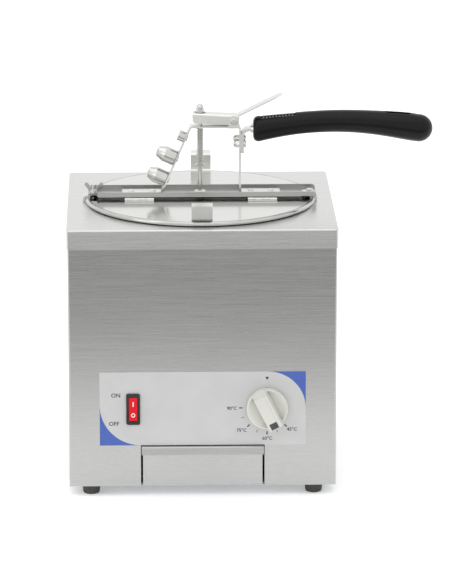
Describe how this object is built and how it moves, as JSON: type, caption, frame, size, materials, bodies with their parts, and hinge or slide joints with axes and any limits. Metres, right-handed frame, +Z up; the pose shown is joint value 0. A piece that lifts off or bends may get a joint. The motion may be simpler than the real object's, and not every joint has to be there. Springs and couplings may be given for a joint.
{
  "type": "heated sauce dispenser",
  "caption": "Box-shaped heated cabinet with a lift-out dosing funnel, bridge bar, half lids, thumb lever on a handle, valve rod, switch, thermostat knob and drip tray.",
  "frame": {"origin": "on the floor plane under the middle of the machine's bounding box", "axes": "+Z up, -Y is the front with the control panel, +X is the side of the handle"},
  "size_m": [0.3749, 0.2916, 0.3898],
  "materials": {
    "brushed_stainless": "brushed",
    "drawn_stainless": "satin",
    "turned_stainless": "turned bright",
    "cast_steel": "satin cast",
    "spring_wire": "drawn wire",
    "zinc_steel": "zinc plated",
    "foot_rubber": "matt",
    "gland_nylon": "moulded",
    "terminal_plastic": "moulded",
    "valve_plastic": "machined",
    "heater_silicone": "matt",
    "insulation_wool": "felted",
    "bulb_copper": "drawn copper",
    "overlay_film": "printed film",
    "switch_plastic": "moulded",
    "rocker_plastic": "moulded",
    "knob_plastic": "moulded",
    "grip_plastic": "moulded"
  },
  "bodies": {
    "housing": {"outer_casing": "brushed_stainless", "top_cover": "brushed_stainless", "rear_panel": "brushed_stainless", "panel_screws": "zinc_steel", "base_plate": "zinc_steel", "feet": "foot_rubber", "foot_screws": "zinc_steel", "foot_nuts": "zinc_steel", "cable_gland": "gland_nylon", "gland_nut": "gland_nylon", "terminal_block": "terminal_plastic", "tray_guides": "zinc_steel", "heating_well": "drawn_stainless", "heater_band": "heater_silicone", "insulation_jacket": "insulation_wool", "thermostat": "zinc_steel", "thermostat_bulb": "bulb_copper", "bulb_clip": "zinc_steel", "control_overlay": "overlay_film", "switch_body": "switch_plastic"},
    "knob": {"knob": "knob_plastic", "knob_spindle": "turned_stainless"},
    "rocker": {"rocker": "rocker_plastic"},
    "drip_tray": {"drip_tray": "brushed_stainless"},
    "funnel_set": {"funnel_bowl": "drawn_stainless", "bridge_bar": "brushed_stainless", "clamp_jaw": "drawn_stainless", "clamp_bolt": "turned_stainless", "fixed_hook": "drawn_stainless", "front_fixed_leaves": "drawn_stainless", "rear_fixed_leaves": "drawn_stainless", "hinge_pins": "drawn_stainless", "lever_bracket": "drawn_stainless", "bracket_rivets": "drawn_stainless", "nozzle_pegs": "drawn_stainless", "pivot_screw": "turned_stainless", "pivot_nut": "turned_stainless", "return_spring": "spring_wire", "guide_bush": "valve_plastic", "handle_strap": "brushed_stainless", "frame_screws": "turned_stainless", "strap_nuts": "turned_stainless", "handle_ferrule": "drawn_stainless", "handle_grip": "grip_plastic"},
    "fitted_nozzle": {"fitted_nozzle": "turned_stainless"},
    "wing_nut": {"wing_nut": "cast_steel"},
    "front_lid": {"front_lid": "drawn_stainless", "front_lid_tab": "drawn_stainless", "front_lid_leaves": "drawn_stainless"},
    "rear_lid": {"rear_lid": "drawn_stainless", "rear_lid_tab": "drawn_stainless", "rear_lid_leaves": "drawn_stainless"},
    "thumb_lever": {"thumb_lever": "drawn_stainless"},
    "valve_rod": {"valve_rod": "turned_stainless", "valve_plug": "valve_plastic", "dome_nut": "turned_stainless", "cross_pin": "turned_stainless", "spring_washer": "turned_stainless"},
    "spare_nozzle_1": {"spare_nozzle_1": "turned_stainless"},
    "spare_nozzle_2": {"spare_nozzle_2": "turned_stainless"}
  },
  "joints": [
    {"name": "funnel_lift", "type": "slide", "parent": "housing", "child": "funnel_set", "axis": [0, 0, 1], "range_m": [0, 0.24]},
    {"name": "front_lid_hinge", "type": "hinge", "parent": "funnel_set", "child": "front_lid", "pos_m": [-0.05115, -0.01905, 0.2833], "axis": [-1, 0, 0], "range_deg": [0, 85]},
    {"name": "rear_lid_hinge", "type": "hinge", "parent": "funnel_set", "child": "rear_lid", "pos_m": [-0.05115, 0.02155, 0.2833], "axis": [1, 0, 0], "range_deg": [0, 85]},
    {"name": "thumb_lever_pivot", "type": "hinge", "parent": "funnel_set", "child": "thumb_lever", "pos_m": [-0.01645, 0.00125, 0.362], "axis": [0, 1, 0], "range_deg": [0, 12]},
    {"name": "valve_rod_slide", "type": "slide", "parent": "funnel_set", "child": "valve_rod", "axis": [0, 0, 1], "range_m": [0, 0.00869], "stiffness_N_per_m": 400, "springref_m": -0.006, "deforming": ["return_spring"]},
    {"name": "wing_nut_turn", "type": "hinge", "parent": "funnel_set", "child": "wing_nut", "pos_m": [-0.16015, 0.00125, 0.286], "axis": [0, 0, 1], "continuous": true},
    {"name": "fitted_nozzle_off", "type": "slide", "parent": "funnel_set", "child": "fitted_nozzle", "axis": [0, 0, -1], "range_m": [0, 0.012]},
    {"name": "spare_nozzle_1_off", "type": "slide", "parent": "funnel_set", "child": "spare_nozzle_1", "axis": [-0.9162, 0, 0.4007], "range_m": [0, 0.012]},
    {"name": "spare_nozzle_2_off", "type": "slide", "parent": "funnel_set", "child": "spare_nozzle_2", "axis": [-0.9162, 0, 0.4007], "range_m": [0, 0.012]},
    {"name": "drip_tray_slide", "type": "slide", "parent": "housing", "child": "drip_tray", "axis": [0, -1, 0], "range_m": [0, 0.2]},
    {"name": "knob_turn", "type": "hinge", "parent": "housing", "child": "knob", "pos_m": [0.01385, -0.12805, 0.0923], "axis": [0, 1, 0], "range_deg": [-153.4, 116.6]},
    {"name": "rocker_tilt", "type": "hinge", "parent": "housing", "child": "rocker", "pos_m": [-0.12135, -0.12735, 0.0918], "axis": [1, 0, 0], "range_deg": [0, 18]}
  ],
  "couplings": [
    {"joint": "thumb_lever_pivot", "follows": "valve_rod_slide", "rad_per_m": 24.101}
  ]
}
